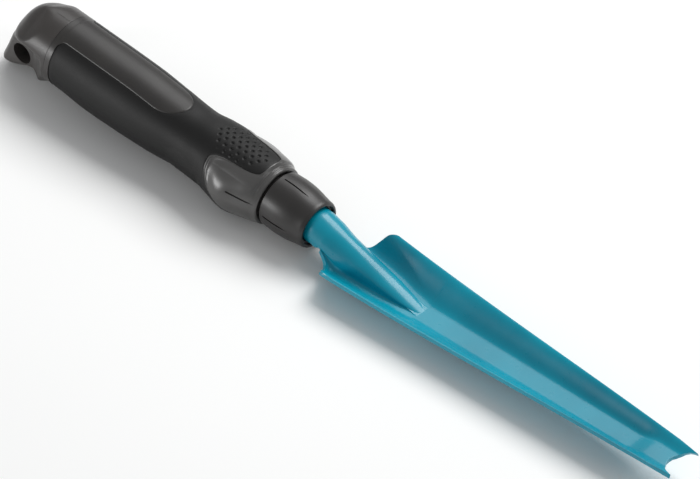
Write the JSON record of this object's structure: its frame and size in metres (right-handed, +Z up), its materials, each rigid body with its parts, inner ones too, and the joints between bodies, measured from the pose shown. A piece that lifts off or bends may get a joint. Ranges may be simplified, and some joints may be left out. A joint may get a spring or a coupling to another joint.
{
  "type": "hand weeder",
  "caption": "Hand weeder with a soft moulded grip, a clamping collar and a narrow stamped trough blade that plugs into the handle and pulls out of it.",
  "frame": {"origin": "on the ground under the middle of the tool's overall box, tool lying on its pommel and blade with the trough opening up", "axes": "+X along the tool towards the blade's tip, +Z up, +Y to the left of someone looking from butt to tip"},
  "size_m": [0.3488, 0.0352, 0.0343],
  "materials": {
    "hard_grey": "satin moulded polypropylene",
    "soft_black": "matte over-moulded elastomer",
    "guard_grey": "satin moulded ABS",
    "collar_grey": "fine matte moulded nylon",
    "ring_grey": "moulded acetal",
    "clamp_black": "moulded nylon",
    "turquoise_coat": "glossy powder coat on steel",
    "steel": "zinc-plated steel",
    "adapter_black": "glass-filled nylon"
  },
  "bodies": {
    "handle": {"handle_core": "hard_grey", "soft_grip": "soft_black", "shoulder_guards": "guard_grey", "top_inlay": "hard_grey", "end_cap": "hard_grey", "cap_screw": "steel", "cap_washer": "steel", "collet": "clamp_black"},
    "thrust": {"thrust_ring": "ring_grey"},
    "collar": {"collar": "collar_grey", "collar_snap_ring": "steel"},
    "tool_head": {"blade": "turquoise_coat", "tang_core": "adapter_black", "tang_rivets": "steel"}
  },
  "joints": [
    {"name": "collar_advance", "type": "slide", "parent": "handle", "child": "thrust", "axis": [0.9987, 0, -0.0506], "range_m": [0, 0.003]},
    {"name": "collar_turn", "type": "hinge", "parent": "thrust", "child": "collar", "pos_m": [-0.0328, 0, 0.01323], "axis": [0.9987, 0, -0.0506], "range_deg": [0, 360]},
    {"name": "tool_release", "type": "slide", "parent": "handle", "child": "tool_head", "axis": [0.9987, 0, -0.0506], "range_m": [0, 0.06]}
  ],
  "couplings": [
    {"joint": "collar_advance", "follows": "collar_turn", "m_per_rad": 0.00047746}
  ]
}
